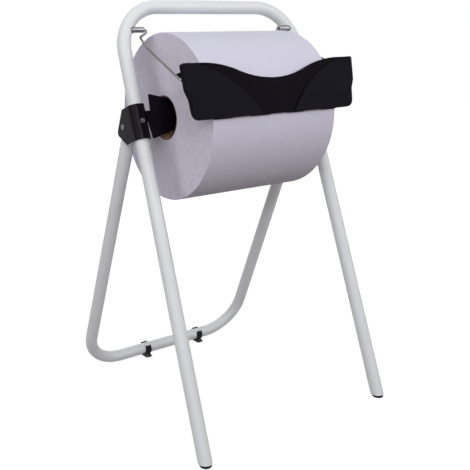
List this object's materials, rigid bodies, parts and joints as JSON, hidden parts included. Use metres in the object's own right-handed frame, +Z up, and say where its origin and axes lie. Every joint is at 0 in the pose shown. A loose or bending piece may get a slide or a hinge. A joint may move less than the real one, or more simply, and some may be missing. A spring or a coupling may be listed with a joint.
{
  "type": "paper roll stand",
  "caption": "Folding floor stand of bent tube that carries a wide roll of wiping paper between creased core holders, with a toothed tear bar on swinging wire arms.",
  "frame": {"origin": "on the floor, in the middle of the footprint", "axes": "+Z up, +X to the right as seen from the front, +Y to the back, away from the tear bar"},
  "size_m": [0.4448, 0.4967, 0.7805],
  "materials": {
    "white_tube": "gloss",
    "black_steel": "satin",
    "zinc": "satin",
    "rivet_steel": "satin",
    "floor_plastic": "satin",
    "bar_plastic": "satin",
    "core_board": "matte",
    "roll_paper": "matte"
  },
  "bodies": {
    "stand": {"front_frame": "white_tube", "left_bracket": "black_steel", "right_bracket": "black_steel", "bracket_eyelets": "zinc", "pivot_rivets": "rivet_steel", "left_core_holder": "black_steel", "right_core_holder": "black_steel", "holder_rivets": "rivet_steel", "left_foot_plug": "floor_plastic", "right_foot_plug": "floor_plastic", "left_arm_sleeve": "zinc", "right_arm_sleeve": "zinc"},
    "rear_leg": {"rear_frame": "white_tube", "left_floor_clip": "floor_plastic", "right_floor_clip": "floor_plastic"},
    "roll": {"paper_roll": "roll_paper", "roll_core": "core_board"},
    "arms": {"left_wire_arm": "zinc", "right_wire_arm": "zinc", "arm_caps": "zinc"},
    "bar": {"tear_bar": "bar_plastic"}
  },
  "joints": [
    {"name": "leg_fold", "type": "hinge", "parent": "stand", "child": "rear_leg", "pos_m": [0, -0.02639, 0.56], "axis": [-1, 0, 0], "range_deg": [0, 43]},
    {"name": "roll_turn", "type": "hinge", "parent": "stand", "child": "roll", "pos_m": [0, -0.03839, 0.571], "axis": [-1, 0, 0], "continuous": true},
    {"name": "arm_lift", "type": "hinge", "parent": "stand", "child": "arms", "pos_m": [0, -0.01143, 0.727], "axis": [-1, 0, 0], "range_deg": [0, 100]},
    {"name": "bar_swing", "type": "hinge", "parent": "arms", "child": "bar", "pos_m": [0, -0.17189, 0.64049], "axis": [-1, 0, 0], "range_deg": [0, 25]}
  ]
}
